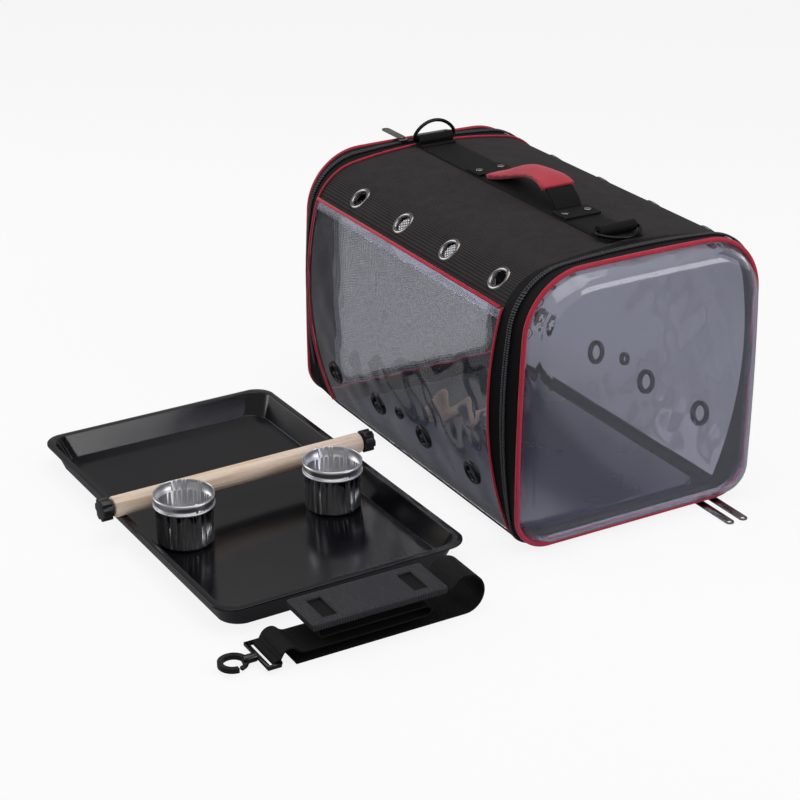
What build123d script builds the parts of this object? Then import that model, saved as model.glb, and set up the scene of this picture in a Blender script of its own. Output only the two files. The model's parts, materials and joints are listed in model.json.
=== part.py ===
from build123d import *
import os
from math import atan2, cos, degrees, hypot, radians, sin, sqrt

# A soft bird carrier with a clear front door, and the tray, perch, cups and shoulder strap that come with it.
# +X runs along the cabin to the clear door, +Y away from the side the accessories lie on, +Z up.
# The origin is the middle of the cabin's base. Millimetres and degrees.

# ---------------------------------------------------------------- driving dimensions
clearance = 0.3             # between soft or separate pieces that only rest on each other
press_gap = 0.02            # between pieces set into one another
running_gap = 0.06          # radial, where one piece turns in another

# cabin
barrel_half_length = 165.0  # half the length of the barrel between the two zip bands
band_width = 28.0           # each zip band, from the barrel to its door's piping
floor_half_width = 108.0
belly_half_width = 138.0
belly_height = 125.0
eave_half_width = 119.0     # where the side and roof curves meet, before the corner is rounded
eave_height = 247.0
crown_height = 261.0
floor_corner = 12.0
eave_corner = 52.0
door_floor_half_width = 125.0
door_belly_half_width = 126.0
door_eave_half_width = 120.0
door_base_height = 5.0
door_eave_height = 258.5
door_crown_height = 260.5
door_floor_corner = 34.0
door_eave_corner = 58.0

roof_thickness = 3.0
side_thickness = 1.4
floor_thickness = 2.4
band_thickness = 2.0
side_top = 225.0            # the seam between roof and side window
side_bottom = 9.0           # the seam between floor and side window
seam_gap = 0.1
piping_radius = 2.2
seam_piping_radius = 1.7

roof_board_half_width = 84.0
roof_board_thickness = 1.4
floor_board_thickness = 3.0
floor_board_inset = 6.0

# ventilation grommets
grommet_bore_radius = 7.6
grommet_neck_radius = 8.4
grommet_flange_radius = 12.0
grommet_flange = 1.2
roof_grommet_count = 4
roof_grommet_pitch = 81.0
roof_grommet_centre = 16.0
side_grommet_count = 4
side_grommet_pitch = 85.0
side_grommet_centre = -5.5
side_grommet_height = 53.0
perch_eyelet_x = -3.0
perch_eyelet_height = 62.0
perch_eyelet_bore_radius = 3.4
perch_eyelet_neck_radius = 4.2
perch_eyelet_flange_radius = 6.5

# zips
coil_radius = 1.1           # one row of coiled teeth
coil_seat = 0.25            # lifts a coil clear of the tapering band under it
coil_gap = 0.3              # between the two rows, and between the two halves of a band
slider_length = 9.0
slider_width = 8.0
slider_thickness = 1.3
rear_pull_length = 38.0
front_pull_length = 54.0
pull_width = 8.5
pull_thickness = 1.3
front_slider_y = (78.0, 93.0)
rear_slider_y = (-24.0, -8.0)

# roof strap, D-rings and handle
strap_width = 38.0
strap_thickness = 1.5
strap_end_inset = 5.0
rear_loop_x = 159.0         # from the middle to the webbing loops
front_loop_x = 147.0
ring_loop_radius = 5.0
ring_wire_radius = 1.7
ring_depth = 18.0
ring_corner = 2.6
ring_shoulder = 6.0
front_ring_droop = 9.0
handle_start_x = -56.0
handle_end_x = 87.0
handle_width = 30.0
handle_thickness = 2.0
handle_rise = 24.0
handle_tab_length = 22.0
handle_foot_run = 22.0
grip_length = 96.0
grip_thickness = 7.0
grip_width = 34.0
rivet_radius = 3.6
rivet_height = 1.2
rivet_half_spacing = 12.0

# clear front cover and rear mesh door
cover_wall = 1.5
cover_collar = 5.0
cover_depth = 18.0          # how far it stands out beyond its piping
cover_draft = 7.0
cover_edge_radius = 13.0
panel_thickness = 2.4
window_half_width = 89.0
window_bottom = 15.0
window_top = 197.0
window_corner = 14.0
mesh_thickness = 0.8
mesh_overlap = 7.0

# tray
tray_x, tray_y, tray_turn = -6.0, -289.0, 1.2
tray_length = 385.0
tray_width = 240.0
tray_height = 23.0
tray_wall = 2.25
tray_lip = 4.0
tray_lip_thickness = 2.0
tray_draft = 12.0
tray_corner = 20.0

# cups
cup_places = ((24.0, -362.0), (30.0, -218.0))
cup_rim_radius = 27.2
cup_body_radius = 25.4
cup_height = 47.5
cup_wall = 0.9
cup_bead_drop = 10.5
cup_bead_radius = 1.0
cup_foot_radius = 3.5

# perch
perch_x, perch_turn = -16.0, 1.8
perch_length = 252.0
perch_radius = 9.5
perch_end_chamfer = 1.0
stud_radius = 3.0
stud_depth = 16.0
stud_gap = 2.6              # the bare stud between the dowel and the knob, where the side window goes
knob_radius = 10.5
knob_thickness = 9.5
knob_lobes = 6
knob_notch_radius = 3.0

# shoulder strap
webbing_x = 234.0
webbing_width = 38.0
webbing_thickness = 1.6
webbing_layer_pitch = 8.6
webbing_front_loop_radius = 17.5
pad_length = 125.0
pad_width = 48.0
pad_thickness = 6.0
pad_centre_y = -295.0
pad_window_length = 13.0
pad_window_width = 30.0
pad_window_offset = 42.0
hook_wire_radius = 2.1
hook_ring_radius = 10.6
hook_shank_length = 9.0
hook_eye_depth = 9.0
hook_post_radius = 1.7

# ---------------------------------------------------------------- worked-out places
door_x = barrel_half_length + band_width        # the middle of each door's piping
zip_x = barrel_half_length + band_width / 2     # the middle of each zip
band_stop_x = door_x - piping_radius - seam_gap
door_piping_inset = 1.0                         # the piping's middle, inside the door's outline
door_skin_inset = door_piping_inset + piping_radius + 2 * clearance
coil_height = 2 * coil_radius + coil_seat
zip_stop = floor_corner + door_floor_corner     # the rear zip ends this high above the table
zip_side_stop = eave_half_width                 # the front zip ends this far from the middle
overrun = 1.0                                   # how far a cutting shape runs past what it cuts


def circle_through(a, b, c):
    """Centre and radius of the circle through three points of a plane."""
    d = 2 * (a[0] * (b[1] - c[1]) + b[0] * (c[1] - a[1]) + c[0] * (a[1] - b[1]))
    sa, sb, sc = (point[0] ** 2 + point[1] ** 2 for point in (a, b, c))
    centre = ((sa * (b[1] - c[1]) + sb * (c[1] - a[1]) + sc * (a[1] - b[1])) / d,
              (sa * (c[0] - b[0]) + sb * (a[0] - c[0]) + sc * (b[0] - a[0])) / d)
    return centre, hypot(a[0] - centre[0], a[1] - centre[1])


def outline(x, grow=0.0, taper=None):
    """Cross-section of the cabin at x: barrel-sided in the middle, door-shaped at both ends."""
    if taper is None:
        taper = min(max((abs(x) - barrel_half_length) / band_width, 0.0), 1.0)

    def between(barrel, door):
        return barrel + (door - barrel) * taper

    base = door_base_height * min(2 * taper, 1.0)   # up to the door's height by the zip
    floor_half = between(floor_half_width, door_floor_half_width)
    belly_half = between(belly_half_width, door_belly_half_width)
    eave_half = between(eave_half_width, door_eave_half_width)
    eave = between(eave_height, door_eave_height)
    crown = between(crown_height, door_crown_height)

    # the side and roof circles, grown, and where they meet
    side_centre, side_radius = circle_through((floor_half, base), (belly_half, belly_height), (eave_half, eave))
    roof_centre, roof_radius = circle_through((eave_half, eave), (0, crown), (-eave_half, eave))
    side_radius += grow
    roof_radius += grow
    gap = hypot(side_centre[0], side_centre[1] - roof_centre[1])
    along = (roof_radius ** 2 - side_radius ** 2 + gap ** 2) / (2 * gap)
    across = sqrt(roof_radius ** 2 - along ** 2)
    aim = (side_centre[0] / gap, (side_centre[1] - roof_centre[1]) / gap)
    eave_point = (along * aim[0] + across * aim[1], roof_centre[1] + along * aim[1] - across * aim[0])
    floor_z = base - grow
    floor_point = (side_centre[0] + sqrt(side_radius ** 2 - (floor_z - side_centre[1]) ** 2), floor_z)
    belly_point = (side_centre[0] + side_radius, side_centre[1])
    with BuildSketch(Plane.YZ.offset(x), mode=Mode.PRIVATE) as section:
        with BuildLine():
            Line((-floor_point[0], floor_z), floor_point)
            ThreePointArc(floor_point, belly_point, eave_point)
            ThreePointArc(eave_point, (0, crown + grow), (-eave_point[0], eave_point[1]))
            ThreePointArc((-eave_point[0], eave_point[1]), (-belly_point[0], belly_point[1]),
                          (-floor_point[0], floor_z))
        make_face()
        fillet(section.vertices().group_by(Axis.Y)[0], between(floor_corner, door_floor_corner) + grow)
        fillet(section.vertices().group_by(Axis.Y)[-1], between(eave_corner, door_eave_corner) + grow)
    return section.sketch.face()


def add_barrel_skin(half_length, wall, grow, low, high, side=0):
    """The stretch of the barrel's skin between two heights, on both sides or on side +1 or -1 alone."""
    start = Plane.YZ.offset(-half_length)
    with BuildSketch(start, mode=Mode.PRIVATE) as skin_section:
        add(start.to_local_coords(outline(-half_length, grow, 0.0)))
        add(start.to_local_coords(outline(-half_length, grow - wall, 0.0)), mode=Mode.SUBTRACT)
        with Locations((side * belly_half_width, (low + high) / 2)):
            Rectangle(2 * belly_half_width if side else 4 * belly_half_width, high - low, mode=Mode.INTERSECT)
    extrude(skin_section.sketch, amount=2 * half_length)


def add_sleeve(x_start, x_end, wall, grow=0.0):
    """A tube that follows the cabin's outline, its outside grown from the outline."""
    loft(sections=[outline(x_start, grow), outline(x_end, grow)])
    away = overrun if x_end > x_start else -overrun
    sections = []
    for x in (x_start - away, x_end + away):
        sections.append(outline(x, grow - wall, (abs(x) - barrel_half_length) / band_width))
    loft(sections=sections, mode=Mode.SUBTRACT)


# the barrel's side arc and the rounded corner above it, on the +Y side
barrel_arcs = outline(0).edges().filter_by(GeomType.CIRCLE)
side_arc = barrel_arcs.sort_by(lambda edge: edge.center().Y)[-1]
eave_arc = barrel_arcs.sort_by(lambda edge: abs(edge.radius - eave_corner) - edge.center().Y / 1000)[0]
eave_middle = eave_arc @ 0.5


def skin_plane(x, point, arc, side):
    """A plane at x that lies on the barrel's skin and faces outwards, on side +1 or -1."""
    outwards = (point - arc.arc_center).normalized()
    return Plane(origin=(x, side * point.Y, point.Z), x_dir=(1, 0, 0), z_dir=(0, side * outwards.Y, outwards.Z))


def side_point(z):
    """The point of the side arc at height z."""
    centre = side_arc.arc_center
    return Vector(0, centre.Y + sqrt(side_arc.radius ** 2 - (z - centre.Z) ** 2), z)


def row(count, pitch, centre):
    """Evenly spaced places along X."""
    return [centre + pitch * (index - (count - 1) / 2) for index in range(count)]


def roof_grommet_planes():
    return [skin_plane(x, eave_middle, eave_arc, side)
            for side in (-1, 1) for x in row(roof_grommet_count, roof_grommet_pitch, roof_grommet_centre)]


def side_grommet_planes(side):
    return [skin_plane(x, side_point(side_grommet_height), side_arc, side)
            for x in row(side_grommet_count, side_grommet_pitch, side_grommet_centre)]


def perch_eyelet_plane(side):
    return skin_plane(perch_eyelet_x, side_point(perch_eyelet_height), side_arc, side)


def flange_sink(flange_radius, arc):
    """How far the curved skin falls away under a flat flange's edge."""
    return arc.radius - sqrt(arc.radius ** 2 - flange_radius ** 2) + seam_gap


def cut_grommet_seat(plane, neck_radius, flange_radius, sink, thickness):
    """Cuts the hole, and the two flat seats that a grommet clamps, out of the current skin."""
    hole = neck_radius + press_gap
    seat = flange_radius + press_gap
    back = thickness + seam_gap
    reach = 2 * sink + grommet_flange
    for start, radius, depth in ((-back - reach, hole, back + 2 * reach), (-sink, seat, reach), (-back, seat, -reach)):
        with BuildSketch(plane.offset(start), mode=Mode.PRIVATE) as cut:
            Circle(radius)
        extrude(cut.sketch, amount=depth, mode=Mode.SUBTRACT)


def add_grommet(plane, bore_radius, neck_radius, flange_radius, sink, thickness):
    """One eyelet: a rounded face flange, its neck through the skin and the flange rolled behind it."""
    front = -sink + press_gap
    back = -thickness - seam_gap - press_gap
    section = Plane(origin=plane.origin, x_dir=plane.x_dir, z_dir=plane.x_dir.cross(plane.z_dir))
    with BuildSketch(section, mode=Mode.PRIVATE) as profile:
        with BuildLine():
            Polyline(
                (bore_radius, back - grommet_flange), (flange_radius, back - grommet_flange),
                (flange_radius, back), (neck_radius, back), (neck_radius, front),
                (flange_radius, front), (flange_radius, front + grommet_flange / 2),
            )
            ThreePointArc(
                (flange_radius, front + grommet_flange / 2),
                ((flange_radius + bore_radius) / 2, front + grommet_flange * 1.5),
                (bore_radius, front + grommet_flange / 2),
            )
            Line((bore_radius, front + grommet_flange / 2), (bore_radius, back - grommet_flange))
        make_face()
    revolve(profile.sketch, axis=Axis(plane.origin, plane.z_dir))


def add_piping(x, radius, grow):
    """A round cord that follows the cabin's outline at x."""
    path = outline(x, grow).outer_wire()
    with BuildSketch(Plane(origin=path @ 0, z_dir=path % 0), mode=Mode.PRIVATE) as cord:
        Circle(radius)
    sweep(cord.sketch, path=path)


parts = {}


def keep(name, part):
    part.label = name
    parts[name] = part


# ---------------------------------------------------------------- cabin
roof_sink = flange_sink(grommet_flange_radius, eave_arc)
side_sink = flange_sink(grommet_flange_radius, side_arc)
eyelet_sink = flange_sink(perch_eyelet_flange_radius, side_arc)
barrel_end = barrel_half_length - seam_gap / 2

with BuildPart() as roof_panel:
    add_barrel_skin(barrel_end, roof_thickness, 0, side_top + seam_gap / 2, 2 * crown_height)
    for place in roof_grommet_planes():
        cut_grommet_seat(place, grommet_neck_radius, grommet_flange_radius, roof_sink, roof_thickness)
keep("roof_panel", roof_panel.part)

with BuildPart() as roof_board:
    with BuildSketch(Plane.YZ.offset(-barrel_end + floor_board_inset)) as board_section:
        add(Plane.YZ.to_local_coords(outline(0, -roof_thickness - seam_gap)))
        add(Plane.YZ.to_local_coords(outline(0, -roof_thickness - seam_gap - roof_board_thickness)),
            mode=Mode.SUBTRACT)
        with Locations((0, crown_height)):
            Rectangle(2 * roof_board_half_width, 2 * (crown_height - side_top), mode=Mode.INTERSECT)
    extrude(amount=2 * (barrel_end - floor_board_inset))
keep("roof_board", roof_board.part)

with BuildPart() as floor_panel:
    add_barrel_skin(barrel_end, floor_thickness, 0, -side_bottom, side_bottom - seam_gap / 2)
keep("floor_panel", floor_panel.part)

with BuildPart() as floor_board:
    with BuildSketch(Plane.XY.offset(floor_thickness + seam_gap)):
        RectangleRounded(2 * (barrel_half_length - floor_board_inset),
                         2 * (floor_half_width - floor_corner), floor_corner)
    extrude(amount=floor_board_thickness)
keep("floor_board", floor_board.part)

for side, side_name in ((-1, "left"), (1, "right")):
    with BuildPart() as side_window:
        add_barrel_skin(barrel_end, side_thickness, 0, side_bottom + seam_gap / 2, side_top - seam_gap / 2, side)
        for place in side_grommet_planes(side):
            cut_grommet_seat(place, grommet_neck_radius, grommet_flange_radius, side_sink, side_thickness)
        cut_grommet_seat(perch_eyelet_plane(side), perch_eyelet_neck_radius, perch_eyelet_flange_radius,
                         eyelet_sink, side_thickness)
    keep(f"side_window_{side_name}", side_window.part)

    with BuildPart() as side_grommets:
        for place in side_grommet_planes(side):
            add_grommet(place, grommet_bore_radius, grommet_neck_radius, grommet_flange_radius,
                        side_sink, side_thickness)
    keep(f"side_grommets_{side_name}", side_grommets.part)

    with BuildPart() as perch_eyelet:
        add_grommet(perch_eyelet_plane(side), perch_eyelet_bore_radius, perch_eyelet_neck_radius,
                    perch_eyelet_flange_radius, eyelet_sink, side_thickness)
    keep(f"perch_eyelet_{side_name}", perch_eyelet.part)

with BuildPart() as roof_grommets:
    for place in roof_grommet_planes():
        add_grommet(place, grommet_bore_radius, grommet_neck_radius, grommet_flange_radius,
                    roof_sink, roof_thickness)
keep("roof_grommets", roof_grommets.part)

# the red cords in the seams: along both eaves, and round both ends of the barrel
with BuildPart() as eave_piping:
    for side in (-1, 1):
        seam = side_point(side_top)
        with BuildSketch(Plane.YZ.offset(-barrel_end + piping_radius)):
            with Locations((side * (seam.Y + seam_piping_radius + seam_gap), side_top)):
                Circle(seam_piping_radius)
        extrude(amount=2 * (barrel_end - piping_radius))
keep("eave_piping", eave_piping.part)

for x, end_name in ((-barrel_half_length, "rear"), (barrel_half_length, "front")):
    with BuildPart() as barrel_piping:
        add_piping(x, piping_radius / 2, piping_radius / 2 + seam_gap)
        if x > 0:
            with BuildSketch(Plane.XY.offset(side_top)):
                Rectangle(4 * barrel_half_length, 4 * belly_half_width)
            extrude(amount=crown_height, mode=Mode.SUBTRACT)
        with BuildSketch(Plane.XY.offset(side_bottom)):
            Rectangle(4 * barrel_half_length, 4 * belly_half_width)
        extrude(amount=-2 * side_bottom, mode=Mode.SUBTRACT)
    keep(f"barrel_piping_{end_name}", barrel_piping.part)

# ---------------------------------------------------------------- zip bands, teeth and doors' edges
for end, end_name in ((-1, "rear"), (1, "front")):
    with BuildPart() as band:
        add_sleeve(end * (barrel_half_length + seam_gap / 2), end * (zip_x - coil_gap / 2), band_thickness)
    keep(f"{end_name}_band", band.part)

    with BuildPart() as door_band:
        add_sleeve(end * (zip_x + coil_gap / 2), end * band_stop_x, band_thickness)
    keep(f"{end_name}_door_band", door_band.part)

    # a row of coiled teeth on each half, on every side but the one that the door turns about
    for half, half_name in ((-1, "zip_coil"), (1, "door_zip_coil")):
        with BuildPart() as zip_coil:
            add_piping(end * (zip_x + half * (coil_gap / 2 + coil_radius)), coil_radius, coil_radius + coil_seat)
            if end < 0:
                with BuildSketch(Plane.XY.offset(zip_stop)):
                    Rectangle(4 * door_x, 4 * belly_half_width)
                extrude(amount=-2 * zip_stop, mode=Mode.SUBTRACT)
            else:
                with BuildSketch(Plane.XZ.offset(-zip_side_stop)):
                    Rectangle(4 * door_x, 4 * crown_height)
                extrude(amount=-belly_half_width, mode=Mode.SUBTRACT)
        keep(f"{end_name}_{half_name}", zip_coil.part)

    with BuildPart() as door_piping:
        add_piping(end * door_x, piping_radius, -door_piping_inset)
    keep(f"{end_name}_door_piping", door_piping.part)

# ---------------------------------------------------------------- clear front cover
with BuildPart() as front_cover:
    skin = -door_skin_inset
    extrude(outline(door_x, skin), amount=-cover_collar, dir=(1, 0, 0))
    loft(sections=[outline(door_x, skin), outline(door_x + cover_depth, skin - cover_draft)])
    front_edge = front_cover.faces().sort_by(Axis.X)[-1].edges()
    fillet(front_edge, cover_edge_radius)
with BuildPart() as cover_hollow:
    extrude(outline(door_x, skin - cover_wall), amount=-cover_collar - overrun, dir=(1, 0, 0))
    loft(sections=[outline(door_x, skin - cover_wall),
                   outline(door_x + cover_depth - cover_wall, skin - cover_draft - cover_wall)])
    fillet(cover_hollow.faces().sort_by(Axis.X)[-1].edges(), cover_edge_radius - cover_wall)
with BuildPart() as front_cover_shell:
    add(front_cover.part)
    add(cover_hollow.part, mode=Mode.SUBTRACT)
keep("front_cover_shell", front_cover_shell.part)

# ---------------------------------------------------------------- rear mesh door
window_height = window_top - window_bottom
window_middle = (window_top + window_bottom) / 2
window_plane = Plane.YZ.offset(-door_x - panel_thickness / 2)
with BuildPart() as rear_door_panel:
    loft(sections=[outline(-door_x - panel_thickness / 2, -door_skin_inset),
                   outline(-door_x + panel_thickness / 2, -door_skin_inset)])
    with BuildSketch(window_plane):
        with Locations((0, window_middle)):
            RectangleRounded(2 * window_half_width, window_height, window_corner)
    extrude(amount=panel_thickness, mode=Mode.SUBTRACT)
keep("rear_door_panel", rear_door_panel.part)

with BuildPart() as rear_door_mesh:
    with BuildSketch(Plane.YZ.offset(-door_x + panel_thickness / 2 + seam_gap)):
        with Locations((0, window_middle)):
            RectangleRounded(2 * (window_half_width + mesh_overlap), window_height + 2 * mesh_overlap,
                             window_corner + mesh_overlap)
    extrude(amount=mesh_thickness)
keep("rear_door_mesh", rear_door_mesh.part)

# ---------------------------------------------------------------- roof strap, D-rings and handle
strap_base = seam_gap                        # above the roof's outline
strap_top = crown_height + strap_base + strap_thickness
strap_half_length = barrel_half_length - strap_end_inset
loop_height = strap_top + ring_loop_radius   # the middle of each webbing loop

with BuildPart() as roof_strap:
    with BuildSketch(Plane.YZ.offset(-strap_half_length)):
        add(Plane.YZ.to_local_coords(outline(0, strap_base + strap_thickness)))
        add(Plane.YZ.to_local_coords(outline(0, strap_base)), mode=Mode.SUBTRACT)
        with Locations((0, crown_height)):
            Rectangle(strap_width, 2 * (crown_height - side_top), mode=Mode.INTERSECT)
    extrude(amount=2 * strap_half_length)
keep("roof_strap", roof_strap.part)

for end, end_name, ring_loop_x, ring_angle in ((-1, "rear", rear_loop_x, 90.0),
                                               (1, "front", front_loop_x, -front_ring_droop)):
    loop_middle = (end * ring_loop_x, loop_height)
    with BuildPart() as ring_loop:
        with BuildSketch(Plane.XZ.offset(-strap_width / 2)):
            with Locations(loop_middle):
                Circle(ring_loop_radius)
            with Locations((end * (ring_loop_x - ring_loop_radius), strap_top + strap_thickness / 2)):
                Rectangle(2 * ring_loop_radius, strap_thickness)
            with Locations(loop_middle):
                Circle(ring_wire_radius + running_gap, mode=Mode.SUBTRACT)
        extrude(amount=strap_width)
    keep(f"{end_name}_ring_loop", ring_loop.part)

    # the D's straight bar runs through the loop, and its bow is turned up from the roof by ring_angle
    ring_aim = Vector(end * cos(radians(ring_angle)), 0, sin(radians(ring_angle)))
    ring_plane = Plane(origin=(end * ring_loop_x, 0, loop_height), x_dir=(0, 1, 0),
                       z_dir=(ring_aim.Z, 0, -ring_aim.X))
    bar_half = strap_width / 2 + ring_corner + clearance
    with BuildSketch(ring_plane, mode=Mode.PRIVATE) as ring_shape:
        with BuildLine():
            Polyline((-bar_half, ring_shoulder), (-bar_half, 0), (bar_half, 0), (bar_half, ring_shoulder))
            ThreePointArc((bar_half, ring_shoulder), (0, ring_depth), (-bar_half, ring_shoulder))
        make_face()
        fillet(ring_shape.vertices(), ring_corner)
    ring_path = ring_shape.sketch.face().outer_wire()
    with BuildPart() as d_ring:
        with BuildSketch(Plane(origin=ring_path @ 0, z_dir=ring_path % 0)):
            Circle(ring_wire_radius)
        sweep(path=ring_path)
    keep(f"{end_name}_d_ring", d_ring.part)

# the handle: two sewn tabs, the webbing arch between them, and the red grip wrapped round its middle
handle_middle = (handle_start_x + handle_end_x) / 2
tab_base = strap_top + seam_gap
arch_start = handle_start_x + handle_tab_length / 2
arch_end = handle_end_x - handle_tab_length / 2
arch_foot = tab_base + handle_thickness / 2


def handle_arch():
    """The webbing's middle line: up from one tab, over the top and down to the other, in the XZ plane."""
    top = arch_foot + handle_rise
    start = (arch_start + handle_thickness, arch_foot)
    end = (arch_end - handle_thickness, arch_foot)
    left_shoulder = (arch_start + handle_foot_run, top - handle_rise / 4)
    right_shoulder = (arch_end - handle_foot_run, top - handle_rise / 4)
    return start, left_shoulder, (handle_middle, top), right_shoulder, end


with BuildPart() as handle_tabs:
    with BuildSketch(Plane.XY.offset(tab_base)):
        with Locations((handle_start_x, 0), (handle_end_x, 0)):
            Rectangle(handle_tab_length, strap_width)
    extrude(amount=handle_thickness)
keep("handle_tabs", handle_tabs.part)

with BuildPart() as handle_rivets:
    with Locations(Plane.XY.offset(tab_base + handle_thickness)):
        with GridLocations(handle_end_x - handle_start_x, 2 * rivet_half_spacing, 2, 2):
            with Locations((handle_middle, 0)):
                Cylinder(rivet_radius, rivet_height, align=(Align.CENTER, Align.CENTER, Align.MIN))
    fillet(handle_rivets.edges().filter_by(GeomType.CIRCLE).group_by(Axis.Z)[-1], rivet_height * 0.6)
keep("handle_rivets", handle_rivets.part)

with BuildPart() as handle_webbing:
    with BuildSketch(Plane.XZ.offset(-handle_width / 2)) as arch_sketch:
        with BuildLine():
            start, left_shoulder, top, right_shoulder, end = handle_arch()
            Spline(start, left_shoulder, top, right_shoulder, end, tangents=((1, 1.1), (1, -1.1)))
        trace(line_width=handle_thickness)
    extrude(amount=handle_width)
keep("handle_webbing", handle_webbing.part)

with BuildPart() as handle_grip:
    with BuildSketch(Plane.XZ.offset(-grip_width / 2)):
        with BuildLine():
            start, left_shoulder, top, right_shoulder, end = handle_arch()
            Spline(start, left_shoulder, top, right_shoulder, end, tangents=((1, 1.1), (1, -1.1)))
        trace(line_width=grip_thickness)
        with Locations((handle_middle, arch_foot + handle_rise)):
            Rectangle(grip_length, 2 * handle_rise, mode=Mode.INTERSECT)
    extrude(amount=grip_width)
    with BuildSketch(Plane.XZ.offset(-handle_width / 2 - press_gap)):
        with BuildLine():
            Spline(start, left_shoulder, top, right_shoulder, end, tangents=((1, 1.1), (1, -1.1)))
        trace(line_width=handle_thickness + 2 * press_gap)
    extrude(amount=handle_width + 2 * press_gap, mode=Mode.SUBTRACT)
keep("handle_grip", handle_grip.part)

# ---------------------------------------------------------------- zip sliders and pulls
def add_slider_plate(plane):
    """A slider's boat-shaped plate; plane's X runs along the zip."""
    with BuildSketch(plane, mode=Mode.PRIVATE) as boat:
        Polygon((-slider_length / 2, -slider_width * 0.3), (0, -slider_width / 2),
                (slider_length / 2, -slider_width * 0.38), (slider_length / 2, slider_width * 0.38),
                (0, slider_width / 2), (-slider_length / 2, slider_width * 0.3), align=None)
    extrude(boat.sketch, amount=slider_thickness)


def add_pull(plane, length):
    """A flat pull with a hole in its end; plane's X runs along the pull from its root, Z up from its face."""
    with BuildSketch(plane, mode=Mode.PRIVATE) as tag:
        with Locations((length / 2, 0)):
            SlotOverall(length, pull_width)
        with Locations((length - pull_width / 2, 0)):
            Circle(pull_width / 4, mode=Mode.SUBTRACT)
    extrude(tag.sketch, amount=pull_thickness)


slider_lift = coil_height + clearance
coil_edge = 2 * coil_radius + coil_gap / 2
teeth_base = door_base_height * (1 - 2 * coil_edge / band_width)     # the band's underside beside the coils
rear_slider_base = (crown_height + door_crown_height) / 2 + slider_lift
for number, y in enumerate(rear_slider_y):
    letter = "ab"[number]
    with BuildPart() as rear_slider:
        add_slider_plate(Plane(origin=(-zip_x, y, rear_slider_base), x_dir=(0, 1, 0), z_dir=(0, 0, 1)))
    keep(f"rear_slider_{letter}", rear_slider.part)
    aim = (-1, 0, 0) if number == 0 else (0, 1, 0)
    with BuildPart() as rear_pull:
        add_pull(Plane(origin=(-zip_x, y, rear_slider_base + slider_thickness + seam_gap), x_dir=aim,
                       z_dir=(0, 0, 1)), rear_pull_length)
    keep(f"rear_pull_{letter}", rear_pull.part)

front_slider_base = teeth_base - slider_lift
for number, y in enumerate(front_slider_y):
    letter = "ab"[number]
    with BuildPart() as front_slider:
        add_slider_plate(Plane(origin=(zip_x, y, front_slider_base), x_dir=(0, 1, 0), z_dir=(0, 0, -1)))
    keep(f"front_slider_{letter}", front_slider.part)
    with BuildPart() as front_pull:
        add_pull(Plane(origin=(zip_x + slider_width / 2 + clearance, y, front_slider_base - slider_thickness),
                       x_dir=(1, 0, 0), z_dir=(0, 0, 1)), front_pull_length)
    keep(f"front_pull_{letter}", front_pull.part)

# ---------------------------------------------------------------- tray
tray_plane = Plane(origin=(tray_x, tray_y, 0), x_dir=(cos(radians(tray_turn)), sin(radians(tray_turn)), 0),
                   z_dir=(0, 0, 1))


def tray_section(height, inset):
    """A rounded rectangle at height, inset from the tray's rim."""
    with BuildSketch(tray_plane.offset(height), mode=Mode.PRIVATE) as section:
        RectangleRounded(tray_length - 2 * inset, tray_width - 2 * inset, tray_corner)
    return section.sketch.face()


with BuildPart() as tray:
    loft(sections=[tray_section(0, tray_draft), tray_section(tray_height, tray_lip)])
    loft(sections=[tray_section(tray_wall, tray_draft + tray_wall), tray_section(tray_height, tray_lip + tray_wall)],
         mode=Mode.SUBTRACT)
    with BuildSketch(tray_plane.offset(tray_height - tray_lip_thickness)):
        add(tray_section(0, 0).moved(tray_plane.location.inverse()))
        add(tray_section(0, tray_lip + tray_wall).moved(tray_plane.location.inverse()), mode=Mode.SUBTRACT)
    extrude(amount=tray_lip_thickness)
keep("tray", tray.part)

# ---------------------------------------------------------------- cups
for number, (cup_x, cup_y) in enumerate(cup_places):
    floor = tray_wall + seam_gap
    bead = floor + cup_height - cup_bead_drop
    rim = floor + cup_height
    with BuildPart() as cup:
        with BuildSketch(Plane.XZ.offset(-cup_y)):
            with BuildLine():
                Polyline(
                    (cup_x, floor), (cup_x + cup_body_radius - cup_foot_radius, floor),
                    (cup_x + cup_body_radius, floor + cup_foot_radius), (cup_x + cup_body_radius, bead),
                    (cup_x + cup_rim_radius - cup_wall, bead + cup_bead_radius),
                    (cup_x + cup_rim_radius, rim - cup_wall), (cup_x + cup_rim_radius - cup_wall, rim),
                    (cup_x + cup_rim_radius - 2 * cup_wall, rim - cup_wall),
                    (cup_x + cup_rim_radius - 2 * cup_wall, bead + cup_bead_radius),
                    (cup_x + cup_body_radius - cup_wall, bead),
                    (cup_x + cup_body_radius - cup_wall, floor + cup_foot_radius),
                    (cup_x + cup_body_radius - cup_foot_radius, floor + cup_wall), (cup_x, floor + cup_wall),
                    close=True,
                )
            make_face()
            with Locations((cup_x + cup_body_radius + cup_bead_radius, bead)):
                Circle(cup_bead_radius)
        revolve(axis=Axis((cup_x, cup_y, 0), (0, 0, 1)))
    keep(f"cup_{'ab'[number]}", cup.part)

# ---------------------------------------------------------------- perch
perch_height = tray_height + seam_gap + perch_radius
perch_aim = Vector(-sin(radians(perch_turn)), cos(radians(perch_turn)), 0)


def perch_plane(along):
    """A plane across the perch, along from its middle, that faces outwards at that end."""
    aim = perch_aim if along >= 0 else perch_aim * -1
    origin = Vector(perch_x, tray_y, perch_height) + aim * abs(along)
    return Plane(origin=origin, x_dir=(0, 0, 1), z_dir=aim)


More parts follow.
